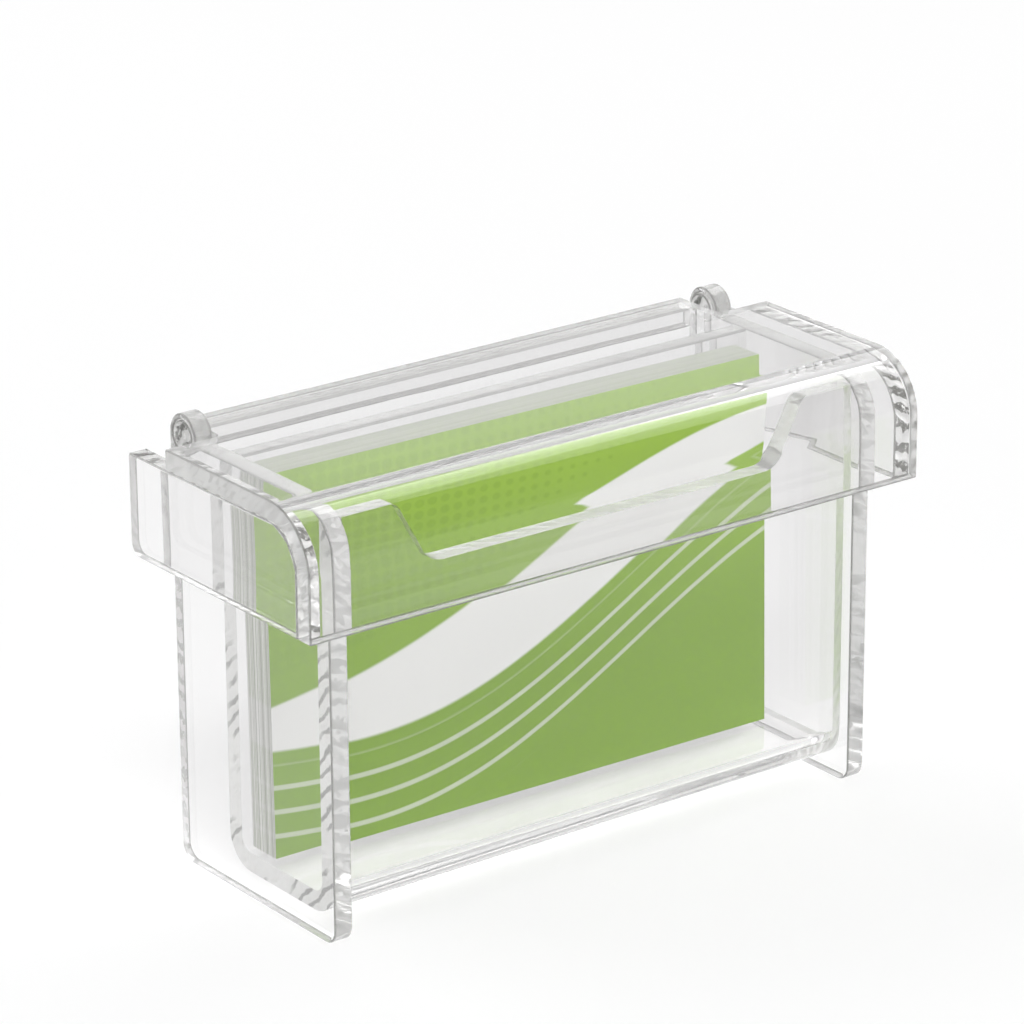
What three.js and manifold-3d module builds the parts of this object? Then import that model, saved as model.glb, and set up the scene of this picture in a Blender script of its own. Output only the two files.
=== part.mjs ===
// Clear box for business cards with a hinged rain lid, standing on its two side plates.
// Millimetres: X along the box, +Y to the rear, +Z up. The origin is under the middle of the closed box.
import * as THREE from 'three';
import { mergeVertices } from 'three/addons/utils/BufferGeometryUtils.js';
import Module from 'manifold-3d';

const wasm = await Module();
wasm.setup();

// Driving dimensions of the cards
const cardWidth = 85;
const cardHeight = 55;
const cardThickness = 0.33;
const cardAir = 0.04; // between neighbouring cards
const cardCount = 16;
const cardTurn = 1.04; // degrees, right end nearer the front
const cardLean = 0.98; // top edge further back than the bottom edge
const cardClearance = 0.3; // to the tray's floor and rear wall
const cardShift = -1.4; // middle of the stack beside the middle of the tray

// Driving dimensions of the body
const sheet = 3; // every clear part is cut from this sheet
const cardSidePlay = 2.5; // between a card's end and a side plate
const cardHeadroom = 1.6; // between a card's top edge and the height of the side plates
const plateDepth = 38.3; // side plate, front edge to rear edge
const plateFoot = 2.5; // rounding of a side plate's bottom corners
const glueLine = 0.1; // gap that the cement fills
const edgeBreak = 0.2; // chamfer round the outline of a polished part
const edgeRound = 0.35; // rounding of its long edges

// Driving dimensions of the card tray, which is one sheet bent twice
const trayFront = 1.9; // front wall set back from the side plates' front edges
const trayOuterDepth = 25.8; // front face of the front wall to rear face of the rear wall
const trayLift = 3; // underside of the tray above the table
const trayBend = 2; // inside radius of its two bends
const notchDepth = 8.8; // finger notch below the front wall's top edge
const notchShoulder = 9.2; // front wall beside the notch, out to the side plate
const notchSlant = 5.1; // how far each end of the notch slants inwards
const notchFillet = 4;

// Driving dimensions of the lid
const lidGapTop = 0.3; // lid sheet above the body's top edges
const lidGapFront = 1; // apron in front of the side plates
const lidGapSide = 2.8; // end plates outside the side plates
const lidDrop = 18.3; // top face of the lid to the lower edge of its apron
const lidBend = 6; // inside radius of the front bend
const lidOverhang = 1.8; // lid's rear edge behind the side plates
const endPlateCorner = 2; // lower corners of the end plates
const tongueGap = 0.5; // tongue to the ears on each side
const tongueCorner = 1.2;
const wingGap = 1.3; // lid's wings in front of the ears
const stripHeight = 3; // strip under the tongue's rear edge

// Driving dimensions of the hinge
const studRadius = 2.3;
const studClearance = 0.15; // stud to the bore of the ear
const earWall = 0.8; // ear round its bore
const earRise = 0.4; // underside of the stud above the side plates' top edges
const earFillet = 0.6;

// Sizes that follow from the driving dimensions
const cardPitch = cardThickness + cardAir;
const innerWidth = cardWidth + 2 * cardSidePlay;
const bodyHeight = trayLift + sheet + cardHeight + cardHeadroom;
const outerHalf = innerWidth / 2 + sheet;
const earRadius = studRadius + studClearance + earWall;
const lidUnder = bodyHeight + lidGapTop;
const lidTop = lidUnder + sheet;
const lidBottom = lidTop - lidDrop;
const apronBack = -lidGapFront;
const apronFront = apronBack - sheet;
const lidRear = plateDepth + lidOverhang;
const lidHalf = outerHalf + lidGapSide + sheet;
const bendCentre = { y: apronBack + lidBend, z: lidUnder - lidBend };
const plateTopCorner = bendCentre.y;
const hinge = { y: plateDepth - earRadius, z: bodyHeight + earRise + studRadius };
const wingRear = plateDepth - 2 * earRadius - wingGap;
const tongueHalf = innerWidth / 2 - tongueGap;
const trayRear = trayFront + trayOuterDepth;
const trayLength = innerWidth - 2 * glueLine;
const notchTop = innerWidth - 2 * notchShoulder;
const notchBottom = notchTop - 2 * notchSlant;
const bendClearance = lidBend - lidGapTop;
const trayFrontTop = bendCentre.z + Math.sqrt(bendClearance ** 2 - (bendCentre.y - trayFront) ** 2);

const acrylic = { color: 0xf4f7f6, roughness: 0.02, metalness: 0, transparent: true, opacity: 0.3 };

// Outline with rounded corners: each corner is [x, y, radius], in order round the outline.
function roundedOutline(corners) {
  const points = [];
  corners.forEach(([x, y, radius = 0], i) => {
    const here = new THREE.Vector2(x, y);
    if (radius === 0) {
      points.push(here);
      return;
    }
    const before = corners[(i + corners.length - 1) % corners.length];
    const after = corners[(i + 1) % corners.length];
    const back = new THREE.Vector2(before[0], before[1]).sub(here).normalize();
    const ahead = new THREE.Vector2(after[0], after[1]).sub(here).normalize();
    const halfAngle = Math.acos(THREE.MathUtils.clamp(back.dot(ahead), -1, 1)) / 2;
    const middle = back.clone().add(ahead).normalize();
    const centre = here.clone().addScaledVector(middle, radius / Math.sin(halfAngle));
    const first = here.clone().addScaledVector(back, radius / Math.tan(halfAngle)).sub(centre);
    const turn = Math.sign(back.cross(ahead)) * (2 * halfAngle - Math.PI);
    const steps = Math.max(2, Math.round(4 * Math.sqrt(radius)));
    for (let k = 0; k <= steps; k += 1) {
      const spoke = first.clone().rotateAround(new THREE.Vector2(), (turn * k) / steps);
      points.push(centre.clone().add(spoke));
    }
  });
  return points.filter((point, i) => point.distanceTo(points.at(i - 1)) > 0.01);
}

// Extrudes an outline drawn in the (Y, Z) plane along X, centred on X = 0.
function alongX(outline, length, hole = null, edge = 0) {
  const shape = new THREE.Shape(outline);
  if (hole) shape.holes.push(new THREE.Path(hole));
  const geometry = new THREE.ExtrudeGeometry(shape, {
    depth: length - 2 * edge,
    bevelEnabled: edge > 0,
    bevelThickness: edge,
    bevelSize: edge,
    bevelOffset: -edge,
    bevelSegments: 1,
  });
  geometry.translate(0, 0, edge - length / 2);
  const axes = [new THREE.Vector3(0, 1, 0), new THREE.Vector3(0, 0, 1), new THREE.Vector3(1, 0, 0)];
  return geometry.applyMatrix4(new THREE.Matrix4().makeBasis(...axes));
}

// Extrudes an outline drawn in the (X, Z) plane from one Y to another.
function alongY(outline, from, to) {
  const geometry = new THREE.ExtrudeGeometry(new THREE.Shape(outline), {
    depth: to - from,
    bevelEnabled: false,
  });
  geometry.rotateX(Math.PI / 2);
  return geometry.translate(0, to, 0);
}

// Extrudes an outline drawn in the (X, Y) plane from one Z to another.
function alongZ(outline, from, to) {
  const geometry = new THREE.ExtrudeGeometry(new THREE.Shape(outline), {
    depth: to - from,
    bevelEnabled: false,
  });
  return geometry.translate(0, 0, from);
}

function toSolid(geometry) {
  const bare = geometry.clone();
  bare.deleteAttribute('normal');
  bare.deleteAttribute('uv');
  const merged = mergeVertices(bare);
  return new wasm.Manifold(new wasm.Mesh({
    numProp: 3,
    vertProperties: merged.attributes.position.array,
    triVerts: new Uint32Array(merged.index.array),
  }));
}

// Cuts the tools out of the blank.
function cut(blank, tools) {
  const solid = tools.reduce((rest, tool) => rest.subtract(toSolid(tool)), toSolid(blank));
  const mesh = solid.getMesh();
  const geometry = new THREE.BufferGeometry();
  geometry.setAttribute('position', new THREE.BufferAttribute(mesh.vertProperties, 3));
  geometry.setIndex(new THREE.BufferAttribute(mesh.triVerts, 1));
  geometry.computeVertexNormals();
  return geometry;
}

function piece(name, geometry, look) {
  const mesh = new THREE.Mesh(geometry, new THREE.MeshStandardMaterial(look));
  mesh.name = name;
  return mesh;
}

function circle(centreY, centreZ, radius, sides) {
  return Array.from({ length: sides }, (_, k) => {
    const angle = (2 * Math.PI * k) / sides;
    return new THREE.Vector2(centreY + radius * Math.cos(angle), centreZ + radius * Math.sin(angle));
  });
}

// Side plate: a flat panel with a round-topped ear at its rear top corner, bored for the hinge stud.
function sidePlateGeometry() {
  const earTop = hinge.z + earRadius;
  const earFront = plateDepth - 2 * earRadius;
  const outline = roundedOutline([
    [0, 0, plateFoot],
    [plateDepth, 0, plateFoot],
    [plateDepth, earTop, earRadius],
    [earFront, earTop, earRadius],
    [earFront, bodyHeight, earFillet],
    [0, bodyHeight, plateTopCorner],
  ]);
  const bore = circle(hinge.y, hinge.z, studRadius + studClearance, 32);
  return alongX(outline, sheet, bore, edgeBreak);
}

// Card tray: rear wall, floor and front wall bent from one sheet, with a finger notch in front.
function cardTrayGeometry() {
  const floor = trayLift;
  const blankTop = trayFrontTop + 1;
  const outer = trayBend + sheet;
  const blank = alongX(roundedOutline([
    [trayFront, blankTop],
    [trayFront, floor, outer],
    [trayRear, floor, outer],
    [trayRear, bodyHeight, edgeRound],
    [trayRear - sheet, bodyHeight, edgeRound],
    [trayRear - sheet, floor + sheet, trayBend],
    [trayFront + sheet, floor + sheet, trayBend],
    [trayFront + sheet, blankTop],
  ]), trayLength);
  const beyond = innerWidth / 2 + sheet;
  const notch = alongY(roundedOutline([
    [-beyond, trayFrontTop],
    [-notchTop / 2, trayFrontTop, notchFillet / 2],
    [-notchBottom / 2, trayFrontTop - notchDepth, notchFillet],
    [notchBottom / 2, trayFrontTop - notchDepth, notchFillet],
    [notchTop / 2, trayFrontTop, notchFillet / 2],
    [beyond, trayFrontTop],
    [beyond, blankTop + sheet],
    [-beyond, blankTop + sheet],
  ]), trayFront - sheet, trayFront + 2 * sheet);
  return cut(blank, [notch]);
}

// Lid sheet: top and apron bent from one sheet; its rear edge leaves a tongue between the ears.
function lidSheetGeometry() {
  const outer = lidBend + sheet;
  const blank = alongX(roundedOutline([
    [apronFront, lidBottom, edgeRound],
    [apronBack, lidBottom, edgeRound],
    [apronBack, lidUnder, lidBend],
    [lidRear, lidUnder, edgeRound],
    [lidRear, lidTop, edgeRound],
    [apronFront, lidTop, outer],
  ]), 2 * lidHalf, null, edgeBreak);
  const beyond = lidHalf + sheet;
  const behind = lidRear + sheet;
  const corner = roundedOutline([
    [tongueHalf, behind],
    [tongueHalf, wingRear, tongueCorner],
    [beyond, wingRear],
    [beyond, behind],
  ]);
  const mirrored = corner.map((point) => new THREE.Vector2(-point.x, point.y)).reverse();
  const cutters = [corner, mirrored].map((plan) => alongZ(plan, lidUnder - sheet, lidTop + sheet));
  return cut(blank, cutters);
}

// End plate of the lid, cemented under the lid sheet and behind its apron.
function lidEndGeometry() {
  const front = apronBack + glueLine;
  const top = lidUnder - glueLine;
  return alongX(roundedOutline([
    [front, lidBottom, edgeRound],
    [lidRear, lidBottom, endPlateCorner],
    [lidRear, top, edgeRound],
    [front, top, lidBend + 3 * glueLine],
  ]), sheet, null, edgeBreak);
}

// Strip of the same sheet, cemented on edge under the tongue's rear edge to stiffen it.
function lidStripGeometry() {
  const top = lidUnder - glueLine;
  const bottom = top - stripHeight;
  return alongX(roundedOutline([
    [lidRear - sheet, bottom, edgeRound],
    [lidRear, bottom, edgeRound],
    [lidRear, top, edgeRound],
    [lidRear - sheet, top, edgeRound],
  ]), 2 * tongueHalf, null, edgeBreak);
}

// Hinge stud: a rod cemented to the tongue's side edge, turning in the ear's bore.
function hingeStudGeometry() {
  const length = sheet + tongueGap - glueLine;
  const outline = circle(hinge.y, hinge.z, studRadius, 32);
  return alongX(outline, length, null, edgeBreak);
}

function body() {
  const group = new THREE.Group();
  for (const [side, sign] of [['left', -1], ['right', 1]]) {
    const plate = piece(`side_plate_${side}`, sidePlateGeometry(), acrylic);
    plate.position.x = sign * (innerWidth / 2 + sheet / 2);
    group.add(plate);
  }
  group.add(piece('card_tray', cardTrayGeometry(), acrylic));
  return group;
}

function lid() {
  const group = new THREE.Group();
  group.add(piece('lid_sheet', lidSheetGeometry(), acrylic));
  group.add(piece('lid_rear_strip', lidStripGeometry(), acrylic));
  for (const [side, sign] of [['left', -1], ['right', 1]]) {
    const end = piece(`lid_end_${side}`, lidEndGeometry(), acrylic);
    end.position.x = sign * (lidHalf - sheet / 2);
    const stud = piece(`hinge_stud_${side}`, hingeStudGeometry(), acrylic);
    stud.position.x = sign * (tongueHalf + outerHalf + glueLine) / 2;
    group.add(end, stud);
  }
  return group;
}

// Stack of cards standing in the tray, leaning back against the rear wall.
function cards() {
  const lean = Math.atan(cardLean / cardHeight);
  const turn = THREE.MathUtils.degToRad(cardTurn);
  const depth = (cardCount - 1) * cardPitch + cardThickness;
  const swing = (cardWidth / 2) * Math.sin(turn);
  const stack = new THREE.Group();
  for (let k = 0; k < cardCount; k += 1) {
    const card = piece(
      `business_card_${String(k + 1).padStart(2, '0')}`,
      new THREE.BoxGeometry(cardWidth, cardThickness, cardHeight),
      { color: k === 0 ? 0x9cc840 : 0xf2f2ee, roughness: 0.5, metalness: 0 },
    );
    card.position.set(0, cardThickness / 2 + k * cardPitch - depth, cardHeight / 2);
    stack.add(card);
  }
  stack.rotation.set(-lean, 0, -turn, 'ZXY');
  // The rear card's heel stands on the floor or, where it reaches the rear bend, on the bend.
  const heel = trayRear - sheet - cardClearance - cardLean;
  const intoBend = Math.max(0, heel - (trayRear - sheet - trayBend));
  const drop = Math.sqrt(Math.max(0, (trayBend - cardClearance) ** 2 - intoBend ** 2));
  stack.position.set(cardShift, heel - swing, trayLift + sheet + trayBend - drop);
  return stack;
}

const holder = new THREE.Group();
holder.add(body(), lid(), cards());
holder.position.y = -(apronFront + lidRear) / 2;

export default holder;
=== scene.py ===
"""Clear acrylic holder for business cards, with a hinged rain lid and a stack of cards."""

import math

import bmesh
import bpy
from mathutils import Matrix, Vector


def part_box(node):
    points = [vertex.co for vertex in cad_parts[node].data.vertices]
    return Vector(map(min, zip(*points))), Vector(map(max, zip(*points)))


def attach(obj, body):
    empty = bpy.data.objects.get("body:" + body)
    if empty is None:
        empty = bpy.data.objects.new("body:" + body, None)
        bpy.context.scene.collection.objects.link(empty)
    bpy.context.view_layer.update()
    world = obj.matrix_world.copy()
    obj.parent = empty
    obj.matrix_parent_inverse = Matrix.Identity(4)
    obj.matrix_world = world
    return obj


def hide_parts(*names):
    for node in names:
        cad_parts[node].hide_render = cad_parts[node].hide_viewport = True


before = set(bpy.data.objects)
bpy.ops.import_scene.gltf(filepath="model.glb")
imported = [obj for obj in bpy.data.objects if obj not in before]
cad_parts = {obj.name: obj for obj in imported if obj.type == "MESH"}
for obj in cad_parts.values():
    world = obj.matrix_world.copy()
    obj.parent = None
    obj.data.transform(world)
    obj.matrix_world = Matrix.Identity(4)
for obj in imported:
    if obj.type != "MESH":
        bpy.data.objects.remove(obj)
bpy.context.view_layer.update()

MM = 0.001
BOUNCES = 32

# View of the photograph
CAMERA_POINT = Vector((-396.6, -525.4, 294.1)) * MM
CAMERA_YAW = math.radians(36.80)
CAMERA_PITCH = math.radians(20.49)
CAMERA_ROLL = math.radians(-0.35)
CAMERA_LENS = 172.6
CAMERA_SENSOR = 36.0
CAMERA_RANGE = (0.01, 50.0)

# Studio: lamps are given as name, place, size and watts
LAMPS = [
    ("key", (-0.5, -0.9, 1.2), (0.9, 0.25), 12.0),
    ("fill", (0.9, 0.3, 1.0), (0.8, 0.8), 4.0),
    ("rear", (-0.4, 1.1, 0.9), (0.9, 0.5), 6.5),
]
LAMP_AIM = (0.0, 0.0, 0.03)
SKY_FRONT = (0.58, 0.58, 0.58, 1.0)
SKY_BACK = (0.86, 0.86, 0.86, 1.0)
SKY_TOP = (0.42, 0.42, 0.42, 1.0)
SKY_TURN = (-0.6, 0.5)
SKY_CLIMB = (0.10, 0.85)
FLOOR_WHITE = (0.54, 0.54, 0.54, 1.0)
FLOOR_PALE = (0.57, 0.57, 0.57, 1.0)
FLOOR_LIFT = 0.385
FLOOR_ROUGHNESS = 0.5
FLOOR_CLOUDS = 3.0
FLOOR_HALF = 6.0
FLOOR_HEIGHT = -0.0002

# Acrylic: colours are scene-linear, pitches and depths in millimetres, noise scales per millimetre
ACRYLIC_INDEX = 1.49
FACE_TINT = (0.922, 0.919, 0.920, 1.0)
EDGE_TINT = (0.84, 0.84, 0.83, 1.0)
# Painted shade: the dark refraction in the saw marks of the edges.
EDGE_PAINTED_SHADE = (0.58, 0.58, 0.57, 1.0)
# Painted shade: the dark refraction in the teeth of filled seams and marked rear edges.
MARK_PAINTED_SHADE = (0.34, 0.34, 0.33, 1.0)
# Painted shade: the dark outlines along the narrow chamfers.
RIM_PAINTED_SHADE = (0.33, 0.33, 0.32, 1.0)
SEAM_TINT = (0.92, 0.92, 0.91, 1.0)
# Painted shade: the dark refraction in unfilled seam teeth.
SEAM_PAINTED_SHADE = (0.10, 0.10, 0.09, 1.0)
SHADOW_TINT = (0.97, 0.97, 0.97, 1.0)
FACE_WAVE = 16.0
FACE_DEPTH = 0.03
STRAY_SCALE = 0.35
SAW_PITCH = 2.6
SAW_SLANT = 0.8
SAW_WANDER = 7.0
SAW_DEPTH = 0.012
SAW_EDGES = (-0.2, 0.9)
SAW_PATCH_SCALE = 0.08
SAW_PATCHES = (0.42, 0.60)
SAW_SHARE = 0.65
EDGE_SHARE = 0.25
SWELL_SCALE = 0.12
SWELL_DEPTH = 0.25
SEAM_PITCH = 2.9
SEAM_SLANT = 0.5
SEAM_WANDER = 10.0
SEAM_DEPTH = 0.16
SEAM_EDGES = (-0.15, 0.30)
SEAM_PATCH_SCALE = 0.10
SEAM_PATCHES = (0.38, 0.50)
GRIT_SCALE = 2.2
GRIT_EDGES = (0.25, 0.50)
SHARD_SCALE = 0.9
SHARD_PATCH_SCALE = 0.22
SHARD_PATCHES = (0.45, 0.60)
SHARD_DEPTH = 0.30
FILLED_WANDER = 6.0
FILLED_DEPTH = 0.05
FILLED_EDGES = (0.2, 0.9)
FILLED_PATCHES = (0.48, 0.60)
FILLED_SIDE = (-10.0, 10.0)

# Finishes of the acrylic, in the order of the materials, and the limits that tell them apart
POLISHED, EDGE, SEAM, RIM, FILLED, MARKED = range(6)
CHAMFER_WIDTH = 0.35
ROUND_WIDTH = 0.20
SLOPED = 0.3
FACING = 0.5
SQUARE = 0.9
FLAT = 0.985
TRAY_END = 44.0
WALL_RIM = 30.0
APRON_RIM = 49.0

# Smoothing of the clear copies
SHARP_ANGLE = math.radians(50.0)
WELD = 0.001 * MM

# Cards: sizes in millimetres
CARD_PITCH = 0.37
CARD_LENGTH = 85.0
CARD_HEIGHT = 55.0
CARD_WHITE = (0.84, 0.84, 0.83, 1.0)
CARD_EDGE = (0.82, 0.82, 0.80, 1.0)
# The dark end of the cut edges: partly a tone that differs at random from card to card, partly
# painted shade between the cards and on the top edges.
CARD_SHADE = (0.36, 0.37, 0.33, 1.0)
SIDE_EDGES = (0.5, 0.9)
GRAIN_SCALE = 5.0
GRAIN_DEPTH = 0.02 * MM
GRAIN_STRENGTH = 0.1
ROUGHNESS = 0.3
ROUGHNESS_GRAIN = 0.1
ROUGHNESS_CUT = 0.4

# Print: places and widths as shares of the card's height, dots and clouds per millimetre
PRINT_TOP = (0.31, 0.50, 0.04, 1.0)
PRINT_FOOT = (0.205, 0.37, 0.01, 1.0)
PRINT_DEEP = (0.155, 0.29, 0.01, 1.0)
PRINT_CLIMB = (0.25, 0.95)
CLOUD_SCALE = 0.02
CLOUD_SHARE = 0.25
SWING_RATE = 4.2
SWING_START = 3.6
SWING_HEIGHT = 0.10
SWEEP_START = 0.40
SWEEP_RISE = 0.36
SWEEP_WIDTH = 0.06
SWEEP_BLUR = 0.006
BULGE_RATE = 3.0
BULGE_WIDTH = 0.07
LINE_RATE = 15.0
LINE_EDGES = (0.36, 0.44)
LINES_BEGIN = (0.03, 0.05)
LINES_END = (0.26, 0.30)
LINE_SHARE = 0.55
DOT_RATE = 0.45
DOT_SIZE = 0.52
DOT_FADE = -0.5
DOT_BLUR = 0.04
DOTS_BEGIN = (0.07, 0.09)
DOT_SHARE = 0.30

# Cut edges of the stack
ORDER_SCALE = 0.55
ORDER_SHARE = 3.2
FIBRE_STRETCH = (3.0, 9.0, 3.0)
FIBRE_SHARE = 0.2
EDGE_LEVEL = -1.45
LAYER_SHARE = 1.2
# Painted shade on the upward cut edges of the stack, which face the light.
TOP_EDGES = (0.4, 0.8)
TOP_PAINTED_SHADE = -0.75

CARD_NODES = sorted(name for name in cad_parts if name.startswith("business_card_"))
ROOT_ACRYLIC = ["side_plate_left", "side_plate_right", "card_tray"]
LID_ACRYLIC = [
    "lid_sheet",
    "lid_rear_strip",
    "lid_end_left",
    "lid_end_right",
    "hinge_stud_left",
    "hinge_stud_right",
]


class Shader:
    """A node tree with short calls for the nodes that the materials here share."""

    def __init__(self, tree):
        self.nodes = tree.nodes
        self.links = tree.links
        self.nodes.clear()

    def put(self, socket, value):
        if isinstance(value, bpy.types.NodeSocket):
            self.links.new(value, socket)
        else:
            socket.default_value = value

    def add(self, kind, inputs=None, **settings):
        node = self.nodes.new(kind)
        for key, value in settings.items():
            setattr(node, key, value)
        for key, value in (inputs or {}).items():
            self.put(node.inputs[key], value)
        return node

    def maths(self, operation, a, b=0.0, c=0.0, clamp=False):
        inputs = {0: a, 1: b, 2: c}
        node = self.add("ShaderNodeMath", inputs, operation=operation, use_clamp=clamp)
        return node.outputs[0]

    def product(self, *factors):
        total = factors[0]
        for factor in factors[1:]:
            total = self.maths("MULTIPLY", total, factor)
        return total

    def vector(self, operation, a, b=(0.0, 0.0, 0.0)):
        node = self.add("ShaderNodeVectorMath", {0: a, 1: b}, operation=operation)
        return node.outputs["Value" if operation in {"DOT_PRODUCT", "LENGTH"} else "Vector"]

    def scaled(self, vector, scale):
        inputs = {0: vector, "Scale": scale}
        return self.add("ShaderNodeVectorMath", inputs, operation="SCALE").outputs["Vector"]

    def split(self, vector):
        return self.add("ShaderNodeSeparateXYZ", {"Vector": vector}).outputs

    def band(self, value, low, high, inverse=False):
        """0 below low, 1 above high, and a smooth step between them."""
        ends = {"From Min": low, "From Max": high}
        node = self.add("ShaderNodeMapRange", {"Value": value, **ends},
                        interpolation_type="SMOOTHSTEP")
        result = node.outputs["Result"]
        return self.maths("SUBTRACT", 1.0, result) if inverse else result

    def noise(self, coords, scale, detail=2.0):
        inputs = {"Vector": coords, "Scale": scale, "Detail": detail, "Roughness": 0.5}
        return self.add("ShaderNodeTexNoise", inputs).outputs["Fac"]

    def blend(self, factor, a, b):
        node = self.add("ShaderNodeMix", data_type="RGBA")
        self.put(node.inputs["Factor"], factor)
        self.put(node.inputs["A"], a)
        self.put(node.inputs["B"], b)
        return node.outputs["Result"]

    def bump(self, height, distance, strength=1.0):
        inputs = {"Height": height, "Distance": distance, "Strength": strength}
        return self.add("ShaderNodeBump", inputs).outputs["Normal"]


def new_material(name):
    material = bpy.data.materials.new(name)
    material.use_nodes = True
    return material, Shader(material.node_tree)


def clear_plastic(name, tint, relief, shade_mask=None, frost=0.0, roughness=0.0):
    """Acrylic glass with the relief that the function gives, in millimetres of height.

    With a shade mask, the tint is the pair of colours, plain and painted shade, that the mask
    mixes."""
    material, s = new_material(name)
    place = s.scaled(s.add("ShaderNodeTexCoord").outputs["Object"], 1.0 / MM)
    clear = s.add("ShaderNodeBsdfPrincipled", {
        "Base Color": s.blend(shade_mask(s, place), *tint) if shade_mask else tint,
        "Roughness": roughness,
        "IOR": ACRYLIC_INDEX,
        "Transmission Weight": 1.0 - frost,
        "Normal": s.bump(relief(s, place), MM),
    })
    passing = s.add("ShaderNodeBsdfTransparent", {"Color": SHADOW_TINT})
    path = s.add("ShaderNodeLightPath")
    mix = s.add("ShaderNodeMixShader", {"Fac": path.outputs["Is Shadow Ray"]})
    s.put(mix.inputs[1], clear.outputs["BSDF"])
    s.put(mix.inputs[2], passing.outputs["BSDF"])
    s.add("ShaderNodeOutputMaterial", {"Surface": mix.outputs["Shader"]})
    return material


def face_relief(s, place):
    """The slow waviness of a cast sheet."""
    return s.product(s.noise(place, 1.0 / FACE_WAVE, 1.0), FACE_DEPTH)


def stripes(s, place, pitch, slant, wander):
    """Waves of the given pitch along an edge, slanted across it and never quite regular."""
    course = s.vector("DOT_PRODUCT", place, (slant, 1.0, 1.0))
    stray = s.product(s.noise(place, STRAY_SCALE), wander)
    phase = s.maths("MULTIPLY_ADD", course, 2.0 * math.pi / pitch, stray)
    return s.maths("SINE", phase)


def saw_marks(s, place):
    return stripes(s, place, SAW_PITCH, SAW_SLANT, SAW_WANDER)


def seam_teeth(s, place, wander=SEAM_WANDER):
    return stripes(s, place, SEAM_PITCH, SEAM_SLANT, wander)


def edge_relief(s, place):
    """Flame polished saw marks on a free edge."""
    slow = s.product(s.noise(place, SWELL_SCALE, 1.0), SWELL_DEPTH)
    return s.maths("ADD", s.product(saw_marks(s, place), SAW_DEPTH), slow)


def edge_shade_mask(s, place):
    """A share of painted shade in a free edge's colour, larger where its saw marks are deep."""
    marks = s.band(saw_marks(s, place), *SAW_EDGES)
    patch = s.band(s.noise(place, SAW_PATCH_SCALE), *SAW_PATCHES)
    return s.maths("MULTIPLY_ADD", s.product(marks, patch), SAW_SHARE, EDGE_SHARE)


def seam_shade_mask(s, place):
    """Painted shade in deep saw teeth, open on a free edge or left unfilled by the cement of a
    seam.
    """
    teeth = s.band(seam_teeth(s, place), *SEAM_EDGES)
    patch = s.band(s.noise(place, SEAM_PATCH_SCALE), *SEAM_PATCHES)
    grit = s.band(s.noise(place, GRIT_SCALE), *GRIT_EDGES)
    return s.product(teeth, patch, grit)


def seam_relief(s, place):
    """Saw teeth and trapped cement in an edge that is glued to the next sheet."""
    teeth = s.product(seam_teeth(s, place), SEAM_DEPTH)
    voronoi = s.add("ShaderNodeTexVoronoi", {"Vector": place, "Scale": SHARD_SCALE})
    patch = s.band(s.noise(place, SHARD_PATCH_SCALE), *SHARD_PATCHES)
    shards = s.product(voronoi.outputs["Distance"], patch, SHARD_DEPTH)
    return s.maths("ADD", teeth, shards)


def filled_shade_mask(s, place):
    """Painted shade in the few teeth that show, at the left, where the cement filled a seam well.
    """
    teeth = s.band(seam_teeth(s, place, FILLED_WANDER), *FILLED_EDGES)
    patch = s.band(s.noise(place, SEAM_PATCH_SCALE), *FILLED_PATCHES)
    left = s.band(s.split(place)["X"], *FILLED_SIDE, inverse=True)
    return s.product(teeth, patch, left)


def filled_relief(s, place):
    """Saw teeth that are nearly drowned in cement."""
    return s.product(seam_teeth(s, place), FILLED_DEPTH)


def face_normal(node):
    """Normal of the largest face of a card, turned to the front."""
    largest = max(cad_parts[node].data.polygons, key=lambda face: face.area)
    normal = Vector(largest.normal)
    return normal if normal.y < 0.0 else -normal


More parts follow.
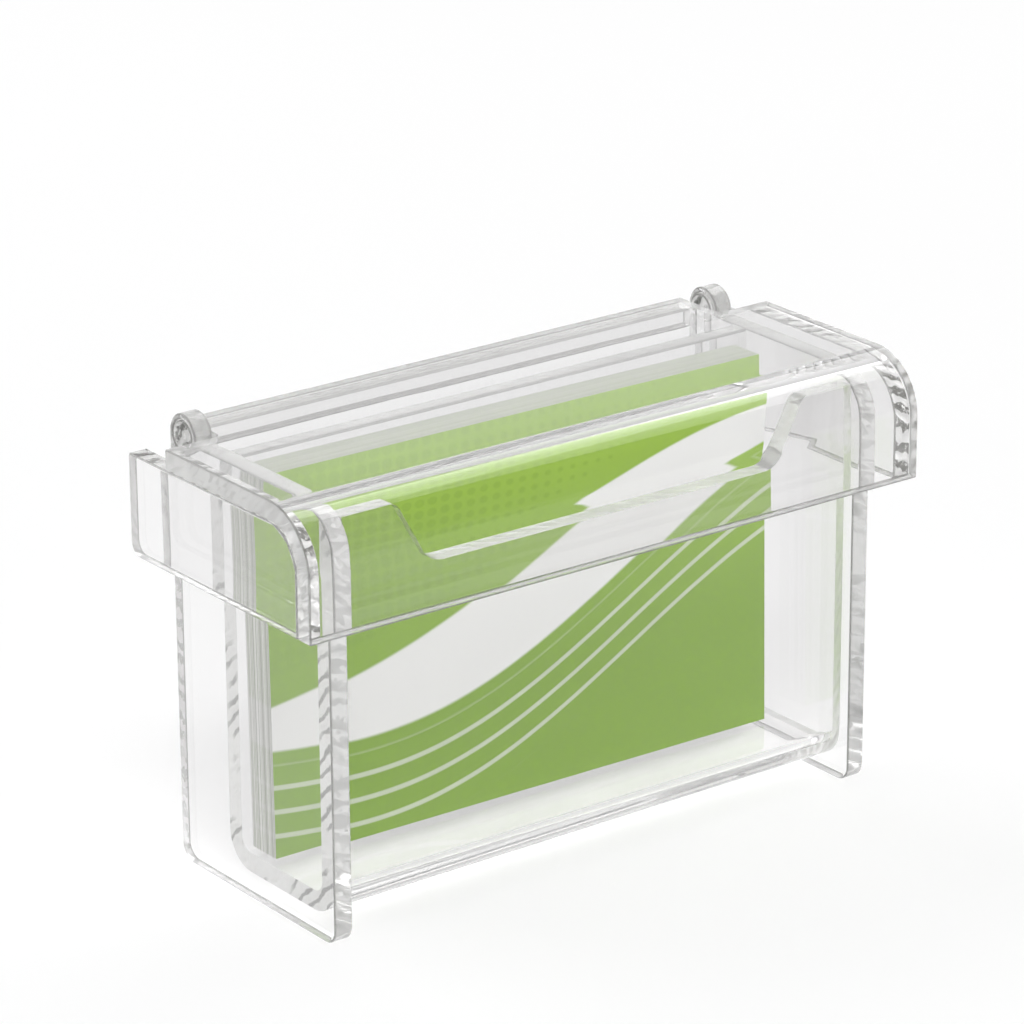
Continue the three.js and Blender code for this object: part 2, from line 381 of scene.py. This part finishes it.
def wave_print(s, place, from_corner):
    """Green field with a white sweep across it, pale lines below that and faint dots above."""
    split = s.split(from_corner)
    u = s.maths("DIVIDE", split["X"], CARD_LENGTH)
    v = s.maths("DIVIDE", split["Z"], CARD_HEIGHT)

    # A white sweep between two slow waves, from the lower left to the upper right
    swing = s.maths("SINE", s.maths("MULTIPLY_ADD", u, SWING_RATE, SWING_START))
    climb = s.maths("MULTIPLY_ADD", u, SWEEP_RISE, SWEEP_START)
    middle = s.maths("MULTIPLY_ADD", swing, SWING_HEIGHT, climb)
    bulge = s.maths("SINE", s.product(u, BULGE_RATE))
    width = s.maths("MULTIPLY_ADD", bulge, BULGE_WIDTH, SWEEP_WIDTH)
    away = s.maths("ABSOLUTE", s.maths("SUBTRACT", v, middle))
    outside = s.maths("SUBTRACT", away, width)
    sweep = s.band(outside, -SWEEP_BLUR, SWEEP_BLUR, inverse=True)

    # Thin pale lines that follow the sweep below it
    below = s.maths("SUBTRACT", s.maths("SUBTRACT", middle, v), width)
    comb = s.maths("PINGPONG", s.product(below, LINE_RATE), 0.5)
    near = s.product(s.band(below, *LINES_BEGIN), s.band(below, *LINES_END, inverse=True))
    lines = s.product(s.band(comb, *LINE_EDGES), near)

    # A field of dots above the sweep, which fades to the right
    cell = s.vector("FRACTION", s.scaled(from_corner, DOT_RATE))
    from_middle = s.vector("SUBTRACT", cell, (0.5, 0.5, 0.5))
    reach = s.vector("LENGTH", s.vector("MULTIPLY", from_middle, (1.0, 0.0, 1.0)))
    size = s.maths("MULTIPLY_ADD", u, DOT_FADE, DOT_SIZE)
    dot = s.band(s.maths("SUBTRACT", reach, size), -DOT_BLUR, DOT_BLUR, inverse=True)
    above = s.maths("SUBTRACT", s.maths("SUBTRACT", v, middle), width)
    dot = s.product(dot, s.band(above, *DOTS_BEGIN))

    field = s.blend(s.band(v, *PRINT_CLIMB), PRINT_FOOT, PRINT_TOP)
    field = s.blend(s.product(s.noise(place, CLOUD_SCALE), CLOUD_SHARE), field, PRINT_DEEP)
    field = s.blend(s.product(lines, LINE_SHARE), field, CARD_WHITE)
    field = s.blend(s.product(dot, DOT_SHARE), field, PRINT_DEEP)
    return s.blend(sweep, field, CARD_WHITE)


def cut_edges(s, place, from_corner, front, normal):
    """Colour of the cards' cut edges: a tone that differs at random from card to card, thinly
    darker between one card and the next as painted shade of the gaps, and darker on the upward
    edges as painted shade.
    """
    depth = s.maths("DIVIDE", s.vector("DOT_PRODUCT", from_corner, -front), CARD_PITCH)
    # Painted shade: each card's cut edge is darker towards the gaps on either side.
    layer = s.maths("PINGPONG", depth, 0.5)
    order = s.add("ShaderNodeTexNoise", {"W": depth, "Scale": ORDER_SCALE, "Detail": 2.0},
                  noise_dimensions="1D")
    fibre = s.noise(s.vector("MULTIPLY", place, FIBRE_STRETCH), 1.0, 3.0)
    level = s.maths("MULTIPLY_ADD", fibre, FIBRE_SHARE, EDGE_LEVEL)
    tone = s.maths("MULTIPLY_ADD", order.outputs["Fac"], ORDER_SHARE, level)
    pale = s.maths("ADD", tone, s.product(layer, LAYER_SHARE), clamp=True)
    # Painted shade: the upward cut edges are darkened.
    shaded_top = s.band(s.split(normal)["Z"], *TOP_EDGES)
    pale = s.maths("MULTIPLY_ADD", s.product(shaded_top, pale), TOP_PAINTED_SHADE, pale)
    return s.blend(pale, CARD_SHADE, CARD_EDGE)


def card_material(name):
    """Coated white card, printed on the front with a plain green wave pattern."""
    material, s = new_material(name)
    front = face_normal(CARD_NODES[0])
    low_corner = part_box(CARD_NODES[0])[0]
    coords = s.add("ShaderNodeTexCoord").outputs
    place = s.scaled(coords["Object"], 1.0 / MM)
    from_corner = s.vector("SUBTRACT", place, Vector(low_corner) / MM)

    facing = s.vector("DOT_PRODUCT", coords["Normal"], front)
    printed = s.band(facing, *SIDE_EDGES)
    back = s.band(s.product(facing, -1.0), *SIDE_EDGES)
    edge = s.maths("SUBTRACT", 1.0, s.maths("ADD", printed, back, clamp=True))
    colour = s.blend(printed, CARD_WHITE, wave_print(s, place, from_corner))
    stock = cut_edges(s, place, from_corner, front, coords["Normal"])

    grain = s.noise(place, GRAIN_SCALE, 3.0)
    coating = s.maths("MULTIPLY_ADD", grain, ROUGHNESS_GRAIN, ROUGHNESS)
    card = s.add("ShaderNodeBsdfPrincipled", {
        "Base Color": s.blend(edge, colour, stock),
        "Roughness": s.maths("MULTIPLY_ADD", edge, ROUGHNESS_CUT, coating),
        "Normal": s.bump(grain, GRAIN_DEPTH, GRAIN_STRENGTH),
    })
    s.add("ShaderNodeOutputMaterial", {"Surface": card.outputs["BSDF"]})
    return material


def floor_material():
    """Matt white floor that shows white where nothing shades it."""
    material, s = new_material("studio_floor")
    clouds = s.noise(s.add("ShaderNodeTexCoord").outputs["Object"], FLOOR_CLOUDS)
    colour = s.blend(clouds, FLOOR_WHITE, FLOOR_PALE)
    matt = s.add("ShaderNodeBsdfDiffuse", {"Color": colour, "Roughness": FLOOR_ROUGHNESS})
    path = s.add("ShaderNodeLightPath").outputs
    seen = s.maths("MAXIMUM", path["Is Camera Ray"], path["Is Glossy Ray"])
    seen = s.maths("MAXIMUM", seen, path["Is Transmission Ray"])
    lift = s.add("ShaderNodeEmission", {"Strength": s.product(seen, FLOOR_LIFT)})
    total = s.add("ShaderNodeAddShader")
    s.put(total.inputs[0], matt.outputs["BSDF"])
    s.put(total.inputs[1], lift.outputs["Emission"])
    s.add("ShaderNodeOutputMaterial", {"Surface": total.outputs["Shader"]})
    return material


def dress(node, material):
    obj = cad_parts[node]
    obj.data.materials.clear()
    obj.data.materials.append(material)


def finish_of(node, face):
    """Which finish a face of an acrylic piece has, from its place, width and direction."""
    x, y, z = (abs(part) for part in face.normal)
    centre = face.calc_center_median() / MM
    width = face.calc_area() / max(edge.calc_length() for edge in face.edges) / MM
    if max(x, y, z) < FLAT and width < (CHAMFER_WIDTH if x > SLOPED else ROUND_WIDTH):
        return RIM
    if node.startswith("hinge_stud"):
        return SEAM if x > SQUARE else POLISHED
    if node == "card_tray":
        if x > SQUARE and abs(centre.x) > TRAY_END:
            return FILLED
        return EDGE if x > SLOPED or (z > FACING and centre.z > WALL_RIM) else POLISHED
    if node == "lid_sheet":
        rim = z > FACING and centre.z < APRON_RIM
        rear = y > FACING and centre.y > 0.0
        return EDGE if x > SLOPED or rim or rear else POLISHED
    if node == "lid_rear_strip":
        return EDGE if x > SLOPED or z > FACING else POLISHED
    if x > SQUARE:
        return POLISHED
    if node.startswith("side_plate") and face.normal.y > SQUARE:
        return MARKED
    joined = face.normal.z > FACING or face.normal.y < -FACING
    return SEAM if node.startswith("lid_end") and joined else EDGE


def smooth_copy(node, body, finishes):
    """The node's own shape with its arcs and edge roundings shaded smooth."""
    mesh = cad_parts[node].data.copy()
    mesh.name = "clear_" + node
    mesh.materials.clear()
    for material in finishes:
        mesh.materials.append(material)
    shape = bmesh.new()
    shape.from_mesh(mesh)
    bmesh.ops.remove_doubles(shape, verts=shape.verts, dist=WELD)
    for face in shape.faces:
        face.smooth = True
        face.material_index = finish_of(node, face)
    for edge in shape.edges:
        edge.smooth = edge.calc_face_angle(math.pi) < SHARP_ANGLE
    shape.to_mesh(mesh)
    shape.free()
    piece = bpy.data.objects.new("clear_" + node, mesh)
    bpy.context.scene.collection.objects.link(piece)
    weighted = piece.modifiers.new("weighted_normals", "WEIGHTED_NORMAL")
    weighted.keep_sharp = True
    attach(piece, body)
    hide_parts(node)


def make_floor():
    signs = [(-1, -1), (1, -1), (1, 1), (-1, 1)]
    corners = [(FLOOR_HALF * x, FLOOR_HALF * y, FLOOR_HEIGHT) for x, y in signs]
    mesh = bpy.data.meshes.new("floor")
    mesh.from_pydata(corners, [], [(0, 1, 2, 3)])
    mesh.materials.append(floor_material())
    floor = bpy.data.objects.new("floor", mesh)
    bpy.context.scene.collection.objects.link(floor)


def make_world():
    """Pale studio walls, lighter behind the object than in front of it."""
    world = bpy.data.worlds.new("studio")
    bpy.context.scene.world = world
    world.use_nodes = True
    s = Shader(world.node_tree)
    split = s.split(s.add("ShaderNodeTexCoord").outputs["Generated"])
    walls = s.blend(s.band(split["Y"], *SKY_TURN), SKY_FRONT, SKY_BACK)
    colour = s.blend(s.band(split["Z"], *SKY_CLIMB), walls, SKY_TOP)
    background = s.add("ShaderNodeBackground", {"Color": colour, "Strength": 1.0})
    s.add("ShaderNodeOutputWorld", {"Surface": background.outputs["Background"]})


def area_lamp(name, point, size, watts):
    lamp = bpy.data.lights.new(name, "AREA")
    lamp.shape = "RECTANGLE"
    lamp.size, lamp.size_y = size
    lamp.energy = watts
    obj = bpy.data.objects.new(name, lamp)
    obj.location = point
    aim = Vector(LAMP_AIM) - Vector(point)
    obj.rotation_euler = aim.to_track_quat("-Z", "Y").to_euler()
    bpy.context.scene.collection.objects.link(obj)


def make_camera():
    forward = Vector((
        math.sin(CAMERA_YAW) * math.cos(CAMERA_PITCH),
        math.cos(CAMERA_YAW) * math.cos(CAMERA_PITCH),
        -math.sin(CAMERA_PITCH),
    ))
    level = Vector((math.cos(CAMERA_YAW), -math.sin(CAMERA_YAW), 0.0))
    upright = level.cross(forward)
    right = math.cos(CAMERA_ROLL) * level + math.sin(CAMERA_ROLL) * upright
    up = math.cos(CAMERA_ROLL) * upright - math.sin(CAMERA_ROLL) * level
    data = bpy.data.cameras.new("camera")
    data.lens = CAMERA_LENS
    data.sensor_width = CAMERA_SENSOR
    data.clip_start, data.clip_end = CAMERA_RANGE
    camera = bpy.data.objects.new("camera", data)
    turn = Matrix((right, up, -forward)).transposed().to_4x4()
    camera.matrix_world = Matrix.Translation(CAMERA_POINT) @ turn
    bpy.context.scene.collection.objects.link(camera)
    bpy.context.scene.camera = camera


# Materials on the pieces
acrylics = [
    clear_plastic("acrylic_face", FACE_TINT, face_relief),
    # The edge, seam, filled and marked finishes mix painted shade into their colour.
    clear_plastic("acrylic_edge", (EDGE_TINT, EDGE_PAINTED_SHADE), edge_relief, edge_shade_mask,
                  frost=0.28, roughness=0.10),
    clear_plastic("acrylic_seam", (SEAM_TINT, SEAM_PAINTED_SHADE), seam_relief, seam_shade_mask,
                  frost=0.32, roughness=0.05),
    # The rim's dark colour is painted shade along the chamfers.
    clear_plastic("acrylic_rim", RIM_PAINTED_SHADE, face_relief, frost=0.35, roughness=0.20),
    clear_plastic("acrylic_filled", (SEAM_TINT, MARK_PAINTED_SHADE), filled_relief, filled_shade_mask,
                  frost=0.75, roughness=0.05),
    clear_plastic("acrylic_marked", (EDGE_TINT, MARK_PAINTED_SHADE), edge_relief, seam_shade_mask,
                  frost=0.28, roughness=0.10),
]
for node in ROOT_ACRYLIC:
    smooth_copy(node, "root", acrylics)
for node in LID_ACRYLIC:
    smooth_copy(node, "lid", acrylics)
cards = card_material("printed_card")
for node in CARD_NODES:
    dress(node, cards)

# Studio
make_floor()
make_world()
for lamp in LAMPS:
    area_lamp(*lamp)
make_camera()

scene = bpy.context.scene
scene.view_settings.view_transform = "Standard"
scene.cycles.max_bounces = BOUNCES
scene.cycles.glossy_bounces = BOUNCES
scene.cycles.transmission_bounces = BOUNCES
scene.cycles.transparent_max_bounces = BOUNCES
